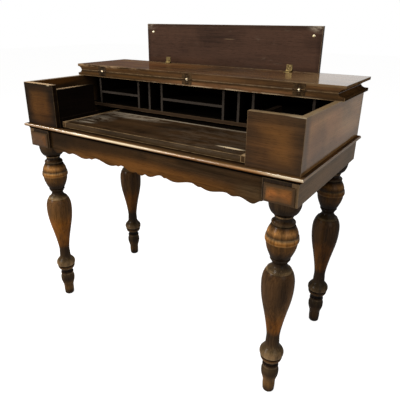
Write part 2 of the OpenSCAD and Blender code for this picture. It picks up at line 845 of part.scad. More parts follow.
module at_fall_lid_screws() {
    for (side = [left, right])
        translate([side * fall_hinge_w / 4, -fall_screw_out, fall_leaf_t - fall_reach])
            rotate([180, 0, 0]) children();
}

module at_fall_board_screws() {
    for (side = [left, right])
        translate([side * fall_hinge_w / 4, fall_reach - fall_leaf_t, fall_screw_out])
            rotate([-90, 0, 0]) children();
}

module fall_hinge_lid_leaves() {
    color("#b08d45") at_fall_hinges() difference() {
        union() {
            difference() {
                bar([-fall_hinge_w / 2, -fall_leaf_w, -fall_reach],
                    [fall_hinge_w / 2, 0, fall_leaf_t - fall_reach]);
                knuckle_room(fall_hinge_w, fall_knuckle_r, fall_knuckles, 1);
            }
            knuckles(fall_hinge_w, fall_knuckle_r, fall_knuckles, 0);
        }
        pin(fall_hinge_w + 1, fall_pin_r + pin_gap);
        at_fall_lid_screws() screw_hole(fall_leaf_t);
    }
}

module fall_hinge_board_leaves() {
    color("#b08d45") at_fall_hinges() difference() {
        union() {
            difference() {
                bar([-fall_hinge_w / 2, fall_reach - fall_leaf_t, 0],
                    [fall_hinge_w / 2, fall_reach, fall_leaf_w]);
                knuckle_room(fall_hinge_w, fall_knuckle_r, fall_knuckles, 0);
            }
            knuckles(fall_hinge_w, fall_knuckle_r, fall_knuckles, 1);
        }
        pin(fall_hinge_w + 1, fall_pin_r + pin_gap);
        at_fall_board_screws() screw_hole(fall_leaf_t);
    }
}

module fall_hinge_pins() {
    color("#8f7a4a") at_fall_hinges() pin(fall_hinge_w, fall_pin_r);
}

module fixed_top() {
    color("#4c3119") difference() {
        place() translate([0, 0, rim_z]) moulded_board(case_d + top_over, top_t);
        at_lid_hinges() lid_leaf_seat();
    }
}

// The lid lies face down on the fixed top
module lid_board() {
    color("#5a4028") difference() {
        place() translate([0, 0, lid_top_z]) mirror([0, 0, 1]) moulded_board(lid_back_y, lid_t);
        at_lid_hinges() mirror([0, 0, 1]) lid_leaf_seat();
        at_fall_hinges() at_fall_lid_screws() pilot_hole();
    }
}

module lid_screws() {
    color("#8f7a4a") {
        at_lid_hinges() mirror([0, 0, 1]) at_lid_screws() screw(lid_leaf_t);
        at_fall_hinges() at_fall_lid_screws() screw(fall_leaf_t);
    }
}

// Places of the studs on the inner face of the fall front
module at_studs() {
    place() for (side = [left, right])
        translate([side * (fall_half_w - stud_side), fall_in_y, fall_high_z - stud_drop])
            rotate([-90, 0, 0]) children();
}

module fall_board() {
    color("#4a2a1a") difference() {
        place() bar([-fall_half_w, fall_in_y, fall_low_z], [fall_half_w, fall_out_y, fall_high_z]);
        at_fall_hinges() at_fall_board_screws() pilot_hole();
        at_studs() pilot_hole();
    }
}

module fall_screws() {
    color("#8f7a4a") at_fall_hinges() at_fall_board_screws() screw(fall_leaf_t);
}

// Domed brass stud with its shank
module fall_studs() {
    dome_r = (stud_r * stud_r + stud_h * stud_h) / (2 * stud_h);
    shank_h = 8;
    color("#b08d45") at_studs() {
        intersection() {
            translate([0, 0, dome_r - stud_h]) sphere(r = dome_r, $fn = fine);
            translate([0, 0, -stud_h - 1]) cylinder(h = stud_h + 1, r = stud_r + 1, $fn = fine);
        }
        translate([0, 0, -stud_h / 2]) cylinder(h = shank_h, r = screw_r, $fn = fine);
    }
}

// Long rounded groove in the bed's upper face
module finger_groove() {
    run = pull_len - pull_w;
    translate([-run / 2, -pull_w / 2, -pull_deep]) cube([run, pull_w, pull_deep + 1]);
    for (side = [left, right])
        translate([side * run / 2, 0, -pull_deep])
            cylinder(h = pull_deep + 1, r = pull_w / 2, $fn = fine);
}

module writing_board() {
    color("#4a3018") place() difference() {
        bar([-batten_in_x, bed_front_y, bed_low_z], [batten_in_x, bed_seam_y, bed_top_z]);
        for (side = [left, right])
            translate([side * pull_x, bed_front_y + pull_y, bed_top_z]) finger_groove();
    }
}

module rear_bed_board() {
    color("#4a3018") place()
        bar([-batten_in_x, bed_seam_y, bed_low_z], [batten_in_x, bed_back_y, bed_top_z]);
}

module bed_batten(side) {
    color("#7a5530") place() on_side(side)
        bar([batten_in_x, bed_front_y, bed_low_z], [batten_out_x, bed_back_y, bed_top_z]);
}

leg(left, leg_front_y);  // leg_front_left
leg(right, leg_front_y);  // leg_front_right
leg(left, leg_rear_y);  // leg_back_left
leg(right, leg_rear_y);  // leg_back_right
corner_block(left, 0, block_front_d, leg_front_y);  // corner_block_front_left
corner_block(right, 0, block_front_d, leg_front_y);  // corner_block_front_right
corner_block(left, back_rail_y - block_back_d, back_rail_y, leg_rear_y);  // corner_block_back_left
corner_block(right, back_rail_y - block_back_d, back_rail_y, leg_rear_y);  // corner_block_back_right
apron_front();
side_rail(left);  // side_rail_left
side_rail(right);  // side_rail_right
back_rail();
corner_plate(left);  // corner_plate_left
corner_plate(right);  // corner_plate_right
waist_moulding_front();
waist_moulding_side(left);  // waist_moulding_left
waist_moulding_side(right);  // waist_moulding_right
case_bottom();
side_panel(left);  // side_panel_left
side_panel(right);  // side_panel_right
front_cheek(left);  // front_cheek_left
front_cheek(right);  // front_cheek_right
back_panel();
partition(left);  // partition_left
partition(right);  // partition_right
bed_guide(left);  // bed_guide_left
bed_guide(right);  // bed_guide_right
bed_runner(left);  // bed_runner_left
bed_runner(right);  // bed_runner_right
pigeonhole_cleats();
pigeonhole_base();
divider(-end_div_x);  // divider_end_left
divider(-outer_div_x);  // divider_outer_left
divider(-slot_div_x);  // divider_slot_left
divider(-mid_div_x);  // divider_middle_left
divider(mid_div_x);  // divider_middle_right
divider(slot_div_x);  // divider_slot_right
divider(outer_div_x);  // divider_outer_right
divider(end_div_x);  // divider_end_right
shelf(-end_div_x, -outer_div_x);  // shelf_left
shelf(-mid_div_x, mid_div_x);  // shelf_middle
shelf(outer_div_x, end_div_x);  // shelf_right
fixed_top();
lid_hinge_top_leaves();
lid_hinge_pins();
top_screws();
lid_board();
lid_hinge_lid_leaves();
fall_hinge_lid_leaves();
fall_hinge_pins();
lid_screws();
fall_board();
fall_hinge_board_leaves();
fall_screws();
fall_studs();
writing_board();
rear_bed_board();
bed_batten(left);  // bed_batten_left
bed_batten(right);  // bed_batten_right
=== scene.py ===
import math

import bpy
from mathutils import Matrix, Vector


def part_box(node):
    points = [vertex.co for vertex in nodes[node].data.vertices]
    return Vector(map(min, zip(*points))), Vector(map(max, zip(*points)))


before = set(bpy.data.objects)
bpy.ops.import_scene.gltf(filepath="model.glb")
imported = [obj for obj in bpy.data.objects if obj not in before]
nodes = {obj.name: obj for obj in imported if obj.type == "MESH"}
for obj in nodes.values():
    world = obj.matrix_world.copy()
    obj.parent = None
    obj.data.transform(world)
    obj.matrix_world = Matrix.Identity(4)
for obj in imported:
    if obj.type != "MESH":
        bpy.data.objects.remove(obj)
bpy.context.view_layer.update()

MM = 0.001


# Colours

def screen(red, green, blue):
    """A colour as it shows on screen, 0 to 255, turned into the linear one that shaders use."""
    def linear(value):
        share = value / 255
        return share / 12.92 if share <= 0.04045 else ((share + 0.055) / 1.055) ** 2.4
    return (linear(red), linear(green), linear(blue), 1.0)


# Stain, rubbed wood and dust, about from dark to light; some of them also serve as painted
# shade and painted highlights
SOOT_AND_SHADE = screen(14, 10, 7)
BLACKENED = screen(26, 18, 11)
DARK_STAIN = screen(48, 35, 22)
STAIN = screen(74, 54, 34)
RED_STAIN = screen(88, 54, 38)
OLIVE = screen(92, 74, 50)
RUBBED = screen(112, 76, 38)
ORANGE = screen(140, 86, 30)
RUSSET = screen(146, 104, 72)
PALE = screen(150, 120, 84)
COPPER = screen(164, 100, 48)
DUST = screen(158, 146, 128)
WORN_AND_HIGHLIGHT = screen(172, 142, 102)
HONEY = screen(186, 134, 76)
BARE_WOOD = screen(190, 160, 122)
CREAM = screen(226, 206, 172)

# Stains of one piece or a few
APRON_DARK = screen(46, 32, 16)
BASE_FRONT = screen(56, 43, 32)
BED_BODY = screen(64, 46, 29)
CHEEK_BODY = screen(84, 60, 38)
FALL_DARK = screen(50, 35, 27)
FALL_BODY = screen(84, 60, 47)
# Inside of the case: near black, a dark stain with painted shade
INSIDE = screen(12, 9, 7)
INSIDE_LIGHT = screen(26, 19, 14)
LID_BODY = screen(106, 76, 50)
RAIL_BODY = screen(124, 96, 66)
SHELF_FRONT = screen(58, 52, 47)
# Stains of the right side panel, made light as painted light
SIDE_LIT_DARK = screen(122, 90, 54)
SIDE_LIT_BODY = screen(178, 134, 82)
SIDE_LIT_GLOW = screen(186, 130, 86)
TOP_ARRIS = screen(132, 112, 84)
VASE_STAIN = screen(104, 73, 43)
FOOT_GLOW = screen(128, 92, 52)
BALL_GLOW = screen(178, 126, 72)

# Brass
DARK_BRASS = screen(42, 31, 20)
TARNISH = screen(70, 53, 34)
OLD_GOLD = screen(134, 118, 76)
BRIGHT_BRASS = screen(232, 220, 190)


# Patterns

class Pattern:
    """A noise: its scale per metre, how rough it is and how it stretches along the grain."""

    def __init__(self, scale, detail, roughness, stretch=1.0, distortion=0.0):
        self.scale = scale
        self.detail = detail
        self.roughness = roughness
        self.stretch = stretch
        self.distortion = distortion


FIGURE = Pattern(6.5, 3.0, 0.5, stretch=0.07, distortion=0.35)
FIBRE = Pattern(330.0, 3.0, 0.6, stretch=0.025)
PORES = Pattern(950.0, 1.0, 0.5, stretch=0.06)
STREAKS = Pattern(46.0, 4.0, 0.62, stretch=0.12)
MOTTLE = Pattern(7.0, 3.0, 0.55)
SCUFFS = Pattern(40.0, 6.0, 0.74, stretch=0.35)
CHIPS = Pattern(38.0, 3.0, 0.6)
SMEAR = Pattern(13.0, 4.0, 0.6)
LEG_NICKS = Pattern(48.0, 5.0, 0.7, stretch=0.5)
LEG_SMEAR = Pattern(16.0, 3.0, 0.6)
MOULDING_NICKS = Pattern(60.0, 5.0, 0.7)
BRASS_STAIN = Pattern(160.0, 4.0, 0.6)
BRASS_MARKS = Pattern(1400.0, 2.0, 0.5, stretch=0.15)


# Shader nodes

# The colour sockets of a Mix node, whose names it shares among several kinds of value
MIX_FIRST = 6
MIX_SECOND = 7
MIX_RESULT = 2
# Share of a patch's reach within which it is at full strength
PATCH_CORE = 0.35


class Shader:
    """One node material, with short calls for the nodes that the finishes use."""

    def __init__(self, name):
        self.material = bpy.data.materials.new(name)
        self.material.use_nodes = True
        self.tree = self.material.node_tree
        self.tree.nodes.clear()
        self.bsdf = self.new("ShaderNodeBsdfPrincipled")
        output = self.new("ShaderNodeOutputMaterial")
        self.tree.links.new(self.bsdf.outputs["BSDF"], output.inputs["Surface"])
        self.place = self.new("ShaderNodeTexCoord").outputs["Object"]
        axes = self.new("ShaderNodeSeparateXYZ")
        self.feed(axes.inputs[0], self.place)
        self.x, self.y, self.z = axes.outputs

    def new(self, kind, **settings):
        node = self.tree.nodes.new(kind)
        for key, value in settings.items():
            setattr(node, key, value)
        return node

    def feed(self, socket, value):
        """Links a socket to another one, or sets it to a plain value."""
        if isinstance(value, bpy.types.NodeSocket):
            self.tree.links.new(value, socket)
        else:
            socket.default_value = value

    def math(self, operation, *values):
        node = self.new("ShaderNodeMath", operation=operation)
        for socket, value in zip(node.inputs, values):
            self.feed(socket, value)
        return node.outputs[0]

    def times(self, *values):
        result = values[0]
        for value in values[1:]:
            result = self.math("MULTIPLY", result, value)
        return result

    def plus(self, *values):
        result = values[0]
        for value in values[1:]:
            result = self.math("ADD", result, value)
        return result

    def minus(self, first, second):
        return self.math("SUBTRACT", first, second)

    def rise(self, value, low, high, start=0.0, end=1.0):
        """Smooth step from start at low to end at high."""
        node = self.new("ShaderNodeMapRange", interpolation_type="SMOOTHSTEP", clamp=True)
        for key, item in (("Value", value), ("From Min", low), ("From Max", high),
                          ("To Min", start), ("To Max", end)):
            self.feed(node.inputs[key], item)
        return node.outputs["Result"]

    def fall(self, value, low, high):
        """Smooth step from 1 at low to 0 at high."""
        return self.rise(value, low, high, 1.0, 0.0)

    def mix(self, amount, first, second, blend="MIX"):
        node = self.new("ShaderNodeMix", data_type="RGBA", blend_type=blend)
        node.clamp_factor = True
        self.feed(node.inputs["Factor"], amount)
        self.feed(node.inputs[MIX_FIRST], first)
        self.feed(node.inputs[MIX_SECOND], second)
        return node.outputs[MIX_RESULT]

    def ramp(self, value, stops):
        """Colour that follows a value through stops of (position, colour), 32 at most."""
        node = self.new("ShaderNodeValToRGB")
        elements = node.color_ramp.elements
        while len(elements) > 1:
            elements.remove(elements[-1])
        elements[0].position = stops[0][0]
        elements[0].color = stops[0][1]
        for position, colour in stops[1:]:
            elements.new(position).color = colour
        self.feed(node.inputs["Fac"], value)
        return node.outputs["Color"]

    def pattern(self, kind, along="X", shift=(0, 0, 0)):
        """Noise of one kind that runs along an axis, moved so that pieces don't match."""
        scale = [1.0, 1.0, 1.0]
        scale["XYZ".index(along)] = kind.stretch
        mapping = self.new("ShaderNodeMapping")
        self.feed(mapping.inputs["Vector"], self.place)
        mapping.inputs["Scale"].default_value = scale
        mapping.inputs["Location"].default_value = shift
        noise = self.new("ShaderNodeTexNoise")
        for key, item in (("Vector", mapping.outputs["Vector"]), ("Scale", kind.scale),
                          ("Detail", kind.detail), ("Roughness", kind.roughness),
                          ("Distortion", kind.distortion)):
            self.feed(noise.inputs[key], item)
        return noise.outputs["Fac"]

    def edge_distance(self, low, high):
        """Distance of a point on a board's face to the nearest edge of that face.

        The box has three pairs of faces. The point lies on a face of one pair, at distance 0,
        so the edge is as near as the middle one of the three distances.
        """
        spans = []
        for axis, near, far in zip((self.x, self.y, self.z), low, high):
            spans.append(self.math("MINIMUM", self.minus(axis, near), self.minus(far, axis)))
        least = self.math("MINIMUM", spans[0], spans[1])
        most = self.math("MAXIMUM", spans[0], spans[1])
        return self.math("MAXIMUM", least, self.math("MINIMUM", most, spans[2]))

    def near_point(self, centre, reach):
        """1 around a point, falling to 0 at the reach given along each axis."""
        offset = self.new("ShaderNodeVectorMath", operation="SUBTRACT")
        self.feed(offset.inputs[0], self.place)
        offset.inputs[1].default_value = centre
        share = self.new("ShaderNodeVectorMath", operation="DIVIDE")
        self.feed(share.inputs[0], offset.outputs[0])
        share.inputs[1].default_value = reach
        length = self.new("ShaderNodeVectorMath", operation="LENGTH")
        self.feed(length.inputs[0], share.outputs[0])
        return self.fall(length.outputs["Value"], PATCH_CORE, 1.0)

    def surface(self, colour, roughness, height, strength, depth):
        """Colour, roughness and bumps, which are as deep as depth in metres."""
        self.feed(self.bsdf.inputs["Base Color"], colour)
        self.feed(self.bsdf.inputs["Roughness"], roughness)
        bump = self.new("ShaderNodeBump")
        bump.inputs["Strength"].default_value = strength
        bump.inputs["Distance"].default_value = depth
        self.feed(bump.inputs["Height"], height)
        self.feed(self.bsdf.inputs["Normal"], bump.outputs["Normal"])

    def varnish(self, weight, roughness=0.14):
        """Gloss from a thin clear coat alone, so that dark wood stays dark."""
        self.bsdf.inputs["Specular IOR Level"].default_value = 0.0
        self.feed(self.bsdf.inputs["Coat Weight"], weight)
        self.bsdf.inputs["Coat Roughness"].default_value = roughness


# Wood

# How far a piece's seed moves its grain along each axis
SEED_STEP = (1.37, 2.11, 0.83)
# How often the growth lines fold back and forth over the figure
GROWTH_LINES = 17.0
# Shares of growth lines, fibres and mottle in the tone of the wood
LINE_SHARE = 0.24
FIBRE_SHARE = 0.60
MOTTLE_SHARE = 0.22
# Values of the pore noise from closed to open wood, and how dark open pores are
PORE_SPAN = (0.60, 0.70)
PORE_SHARE = 0.4


class Grain:
    """Fibres, pores and cloudy patches of wood that runs along one axis, and their tone."""

    def __init__(self, shader, along, seed):
        self.shift = [seed * step for step in SEED_STEP]
        figure = shader.pattern(FIGURE, along, self.shift)
        lines = shader.math("PINGPONG", shader.times(figure, GROWTH_LINES), 1.0)
        self.fibre = shader.pattern(FIBRE, along, self.shift)
        self.pores = shader.rise(shader.pattern(PORES, along, self.shift), *PORE_SPAN)
        self.mottle = shader.pattern(MOTTLE, along, self.shift)
        self.tone = shader.plus(shader.times(lines, LINE_SHARE),
                                shader.times(self.fibre, FIBRE_SHARE),
                                shader.times(self.mottle, MOTTLE_SHARE))


# Boards

# Spans of tone and mottle: the stain, the warm clouds, and how patchy soft wear and tops are
STAIN_SPAN = (0.34, 0.72)
CLOUD_SPAN = (0.34, 0.64)
PATCHY_SPAN = (0.30, 0.62)
PATCHY_TOP_SPAN = (0.30, 0.66)
PATCHY_LEAST = 0.45
# Spans of the scuff and chip noises, and how much wear is left where the arris isn't chipped
SCUFFED_SPAN = (0.60, 0.70)
BROKEN_SPAN = (0.42, 0.58)
CHIPPED_SPAN = (0.36, 0.60)
CHIPPED_LEAST = 0.35
# Distances in metres: where the toned edge starts, how far an arris is worn, how thin a face's
# own colour is, and how far from top and bottom a flat coat fades and ends
TONED_START = 0.002
WORN_SPAN = (0.0003, 0.0020)
FRONT_SPAN = (0.0004, 0.0012)
TOP_SPAN = (0.0004, 0.0014)
FLAT_COAT_FADE = 0.0004
FLAT_COAT_END = 0.0015
# A dull varnish turns glossy between these shares of the board's left and right half
DULL_END = 0.5
GLOSS_START = 0.6
# Roughness below the finish's own where nothing smears it, and what smears and wear add
SMOOTHER = 0.09
ROUGHER = 0.2
# How far fibres, pores and scuffs stand out or sink in, as shares of the bumps
FIBRE_RELIEF = 0.4
PORE_RELIEF = -0.5
SCUFF_RELIEF = 0.35
# Strength of the bumps, and their depth in metres
BOARD_BUMPS = (0.35, 0.0004)


class Finish:
    """How one kind of stained board looks.

    dark, body and glow are its stains, and glow_share is how strong the warm clouds are. toned
    is how far the dark edge reaches in metres, and toned_share how dark it is. worn is for the
    arrises, rough is the roughness, coat the varnish and scuff the scratches. front and top
    colour those faces. dull is the varnish left at the left end, and flat_coat keeps it off the
    board's narrow edges.
    """

    def __init__(self, dark, body, glow, glow_share=0.5, toned=0.03, toned_share=0.6, worn=0.3,
                 rough=0.36, coat=0.25, scuff=0.0, front=None, top=None, dull=None,
                 flat_coat=False):
        self.dark = dark
        self.body = body
        self.glow = glow
        self.glow_share = glow_share
        self.toned = toned
        self.toned_share = toned_share
        self.worn = worn
        self.rough = rough
        self.coat = coat
        self.scuff = scuff
        self.front = front
        self.top = top
        self.dull = dull
        self.flat_coat = flat_coat


class Patch:
    """A local change of colour: soft at its rim, or broken up like wear."""

    def __init__(self, centre, reach, strength, colour, broken=False):
        self.centre = centre
        self.reach = reach
        self.strength = strength
        self.colour = colour
        self.broken = broken


def stained(shader, grain, finish, edge, patches):
    """Stain with warm clouds, soft patches, dark toned edges and open pores."""
    colour = shader.ramp(grain.tone, list(zip(STAIN_SPAN, (finish.dark, finish.body))))
    middle = shader.rise(edge, TONED_START, finish.toned)
    cloud = shader.rise(grain.mottle, *CLOUD_SPAN)
    colour = shader.mix(shader.times(middle, cloud, finish.glow_share), colour, finish.glow)
    for patch in patches:
        if not patch.broken:
            here = shader.near_point(patch.centre, patch.reach)
            patchy = shader.rise(grain.tone, *PATCHY_SPAN, PATCHY_LEAST)
            colour = shader.mix(shader.times(here, patchy, patch.strength), colour,
                                patch.colour)
    toned = shader.times(shader.minus(1.0, middle), finish.toned_share)
    colour = shader.mix(toned, colour, finish.dark)
    return shader.mix(shader.times(grain.pores, PORE_SHARE), colour, SOOT_AND_SHADE)


def broken_wear(shader, scuffs, patches, colour):
    """Scratched and chipped places, which follow the scuffs."""
    for patch in patches:
        if patch.broken:
            here = shader.times(shader.near_point(patch.centre, patch.reach),
                                shader.rise(scuffs, *BROKEN_SPAN), patch.strength)
            colour = shader.mix(here, colour, patch.colour)
    return colour


def own_faces(shader, grain, finish, low, high, colour):
    """Colours of the front and the top face, where the finish gives them."""
    if finish.front:
        on_front = shader.fall(shader.minus(shader.y, low.y), *FRONT_SPAN)
        colour = shader.mix(on_front, colour, finish.front)
    # Lighter top faces of cheeks and side panels: partly worn wood, partly painted light from
    # above
    if finish.top:
        on_top = shader.fall(shader.minus(high.z, shader.z), *TOP_SPAN)
        patchy = shader.rise(grain.mottle, *PATCHY_TOP_SPAN, PATCHY_LEAST)
        colour = shader.mix(shader.times(on_top, patchy), colour, finish.top)
    return colour


def board_coat(shader, finish, low, high):
    """Weight of the varnish: even, dull at the left end, or kept off the narrow edges."""
    coat = finish.coat
    if finish.dull is not None:
        coat = shader.rise(shader.x, low.x * DULL_END, high.x * GLOSS_START, finish.dull, coat)
    if finish.flat_coat:
        half = (high.z - low.z) / 2
        offset = shader.math("ABSOLUTE", shader.plus(shader.z, half - high.z))
        flat = shader.rise(offset, half - FLAT_COAT_END, half - FLAT_COAT_FADE)
        coat = shader.times(flat, coat)
    return coat


def wood(name, finish, along, low, high, seed, patches):
    """Stained board: grain, warm middle, dark toned edges, worn arrises and local patches."""
    shader = Shader(name)
    grain = Grain(shader, along, seed)
    edge = shader.edge_distance(low, high)
    scuffs = shader.pattern(SCUFFS, along, (seed, 3.1, 0.4))
    scuffed = shader.times(shader.rise(scuffs, *SCUFFED_SPAN), finish.scuff)
    chips = shader.rise(shader.pattern(CHIPS), *CHIPPED_SPAN, CHIPPED_LEAST)
    worn = shader.times(shader.fall(edge, *WORN_SPAN), chips, finish.worn)

    colour = stained(shader, grain, finish, edge, patches)
    colour = shader.mix(scuffed, colour, DUST)
    colour = broken_wear(shader, scuffs, patches, colour)
    colour = own_faces(shader, grain, finish, low, high, colour)
    colour = shader.mix(worn, colour, WORN_AND_HIGHLIGHT)

    smear = shader.pattern(SMEAR, along, (seed, seed, 5.0))
    roughness = shader.plus(finish.rough - SMOOTHER, shader.times(smear, ROUGHER),
                            shader.times(scuffed, ROUGHER), shader.times(worn, ROUGHER))
    height = shader.plus(shader.times(grain.fibre, FIBRE_RELIEF),
                         shader.times(grain.pores, PORE_RELIEF),
                         shader.times(scuffs, SCUFF_RELIEF))
    shader.surface(colour, roughness, height, *BOARD_BUMPS)
    shader.varnish(board_coat(shader, finish, low, high))
    return shader.material


# Turned legs

# Zones of a leg: height above the floor in millimetres and the colour there
# The orange and honey bands are rubbed wood; the thin light rings are painted highlights and
# painted reflections, and the near-black grooves are painted shade
FOOT_ZONES = [
    (0, BLACKENED), (10, STAIN), (30, FOOT_GLOW), (56, FOOT_GLOW), (74, STAIN), (94, OLIVE),
    (98, PALE), (103, STAIN), (108, SOOT_AND_SHADE), (119, BLACKENED), (123, PALE), (131, RUBBED),
    (137, SOOT_AND_SHADE), (141, WORN_AND_HIGHLIGHT), (148, PALE), (164, OLIVE), (186, STAIN), (214, STAIN),
    (234, ORANGE)]
HEAD_ZONES = [
    (424, VASE_STAIN), (428, STAIN), (430, WORN_AND_HIGHLIGHT), (431, WORN_AND_HIGHLIGHT), (433, OLIVE),
    (447, DARK_STAIN), (478, DARK_STAIN), (500, RUBBED), (516, RUBBED), (520, HONEY)]
CAP_ZONES = [
    (520, HONEY), (524, ORANGE), (531, HONEY), (534, PALE), (537, STAIN), (540, RUBBED),
    (550, BALL_GLOW), (559, RUBBED), (565, SOOT_AND_SHADE), (569, OLIVE), (574, STAIN), (580, DARK_STAIN),
    (587, BLACKENED), (590, PALE), (593, BLACKENED), (612, DARK_STAIN), (632, STAIN)]
# Zones between foot and head, where the height is from the top of the leg's glow
STEM_ZONES = [(-15, ORANGE), (22, RUBBED), (75, VASE_STAIN)]
# Height in metres at which the second ramp takes over from the first, and where both end
CAP_START = 0.52
LEG_TOP = 0.7
# Spans of mottle, streaks, tone and nicks
LEG_PATINA_SPAN = (0.42, 0.66)
STREAKED_SPAN = (0.42, 0.64)
LEG_TONE_SPAN = (0.36, 0.68)
NICKED_SPAN = (0.66, 0.74)
# How strong patina, streaks and nicks are
LEG_PATINA_SHARE = 0.5
STREAK_SHARE = 0.5
NICK_SHARE = 0.35
# Darkest and lightest that the tone of the wood makes a leg
LEG_DARKEST = 0.60
LEG_LIGHTEST = 1.30
# Roughness where nothing smears the leg, and what smears add
LEG_ROUGHNESS = 0.22
LEG_ROUGHER = 0.22
LEG_FIBRE_RELIEF = 0.35
LEG_NICK_RELIEF = 0.4
LEG_PORE_RELIEF = -0.4
LEG_BUMPS = (0.3, 0.0004)
LEG_COAT = 0.09
LEG_COAT_ROUGHNESS = 0.18


class LegFinish:
    """How light one leg is, where less than 1 is painted shade, and up to what height in
    millimetres its slim part glows.
    """

    def __init__(self, shade, glow_top):
        self.shade = shade
        self.glow_top = glow_top


LEGS = {
    "leg_front_right": LegFinish(1.0, 275),
    "leg_front_left": LegFinish(1.0, 345),
    # The back legs are darkened as painted shade
    "leg_back_right": LegFinish(0.46, 335),
    "leg_back_left": LegFinish(0.46, 320),
}


def leg_ramp(shader, share, zones):
    """Colour zones over a leg's height, given as a share of LEG_TOP."""
    return shader.ramp(share, [(z * MM / LEG_TOP, colour) for z, colour in zones])


def turned_wood(name, finish, seed):
    """Stained turned leg, with rubbed bands and painted highlights on its rounds and painted
    shade in its grooves.
    """
    shader = Shader(name)
    grain = Grain(shader, "Z", seed)
    stem_zones = [(finish.glow_top + z, colour) for z, colour in STEM_ZONES]
    share = shader.math("DIVIDE", shader.z, LEG_TOP)
    lower = leg_ramp(shader, share, FOOT_ZONES + stem_zones + HEAD_ZONES)
    upper = leg_ramp(shader, share, CAP_ZONES)
    colour = shader.mix(shader.math("GREATER_THAN", shader.z, CAP_START), lower, upper)
    patina = shader.rise(grain.mottle, *LEG_PATINA_SPAN)
    colour = shader.mix(shader.times(patina, LEG_PATINA_SHARE), colour, BLACKENED)
    streaked = shader.rise(shader.pattern(STREAKS, "Z", grain.shift), *STREAKED_SPAN)
    colour = shader.mix(shader.times(streaked, STREAK_SHARE), colour, DARK_STAIN)
    light = shader.rise(grain.tone, *LEG_TONE_SPAN, LEG_DARKEST * finish.shade,
                        LEG_LIGHTEST * finish.shade)
    colour = shader.mix(1.0, colour, light, "MULTIPLY")
    colour = shader.mix(shader.times(grain.pores, PORE_SHARE), colour, SOOT_AND_SHADE)
    nicks = shader.pattern(LEG_NICKS, "Z", (seed, 0, 0))
    nicked = shader.times(shader.rise(nicks, *NICKED_SPAN), NICK_SHARE)
    colour = shader.mix(nicked, colour, BARE_WOOD)
    smear = shader.pattern(LEG_SMEAR, "Z", (seed, 2.0, 1.0))
    roughness = shader.plus(LEG_ROUGHNESS, shader.times(smear, LEG_ROUGHER))
    height = shader.plus(shader.times(grain.fibre, LEG_FIBRE_RELIEF),
                         shader.times(nicks, LEG_NICK_RELIEF),
                         shader.times(grain.pores, LEG_PORE_RELIEF))
    shader.surface(colour, roughness, height, *LEG_BUMPS)
    shader.varnish(LEG_COAT, LEG_COAT_ROUGHNESS)
    return shader.material


# Waist moulding

# Zones from the cove, darkened as painted shade, over the nose, lightened as painted highlight:
# height in millimetres and the colour there
FRONT_MOULDING_ZONES = [
    (697, SOOT_AND_SHADE), (701, BLACKENED), (704, STAIN), (706, RUBBED), (709, ORANGE), (712, HONEY),
    (714, PALE), (715, STAIN)]
SIDE_MOULDING_ZONES = [
    (697, BLACKENED), (704, DARK_STAIN), (708, OLIVE), (712, PALE), (715, STAIN)]
FRONT_MOULDING_COAT = 0.8
SIDE_MOULDING_COAT = 0.35
# Heights in metres: the range of the zones, the top of the cove, and the nose
MOULDING_LOW = 0.69
MOULDING_SPAN = 0.03
COVE_TOP = 0.704
COVE_FADE = 0.003
NOSE_LOW = 0.7075
NOSE_LOW_FADE = 0.002
NOSE_HIGH = 0.7148
NOSE_HIGH_FADE = 0.0012
# Where a highlight is painted on the front nose: middle and reach in metres along its length,
# and the colour
PAINTED_HIGHLIGHT_STRETCHES = ((-0.48, 0.22, PALE), (-0.12, 0.30, CREAM), (0.50, 0.12, CREAM))
STRETCH_CORE = 0.3
STRETCH_SHARE = 0.85
# Spans of mottle, tone and nicks, and how strong patina and nicks are
MOULDING_PATINA_SPAN = (0.42, 0.68)
MOULDING_PATINA_SHARE = 0.5
MOULDING_TONE_SPAN = (0.34, 0.70)
MOULDING_NICKED_SPAN = (0.64, 0.74)
MOULDING_NICK_SHARE = 0.4
# Darkest and lightest that the tone of the wood makes a moulding
MOULDING_DARKEST = 0.82
MOULDING_LIGHTEST = 1.1
# Roughness between the nicks, and what they add
MOULDING_ROUGHNESS = 0.16
MOULDING_ROUGHER = 0.2
MOULDING_BUMPS = (0.2, 0.0003)


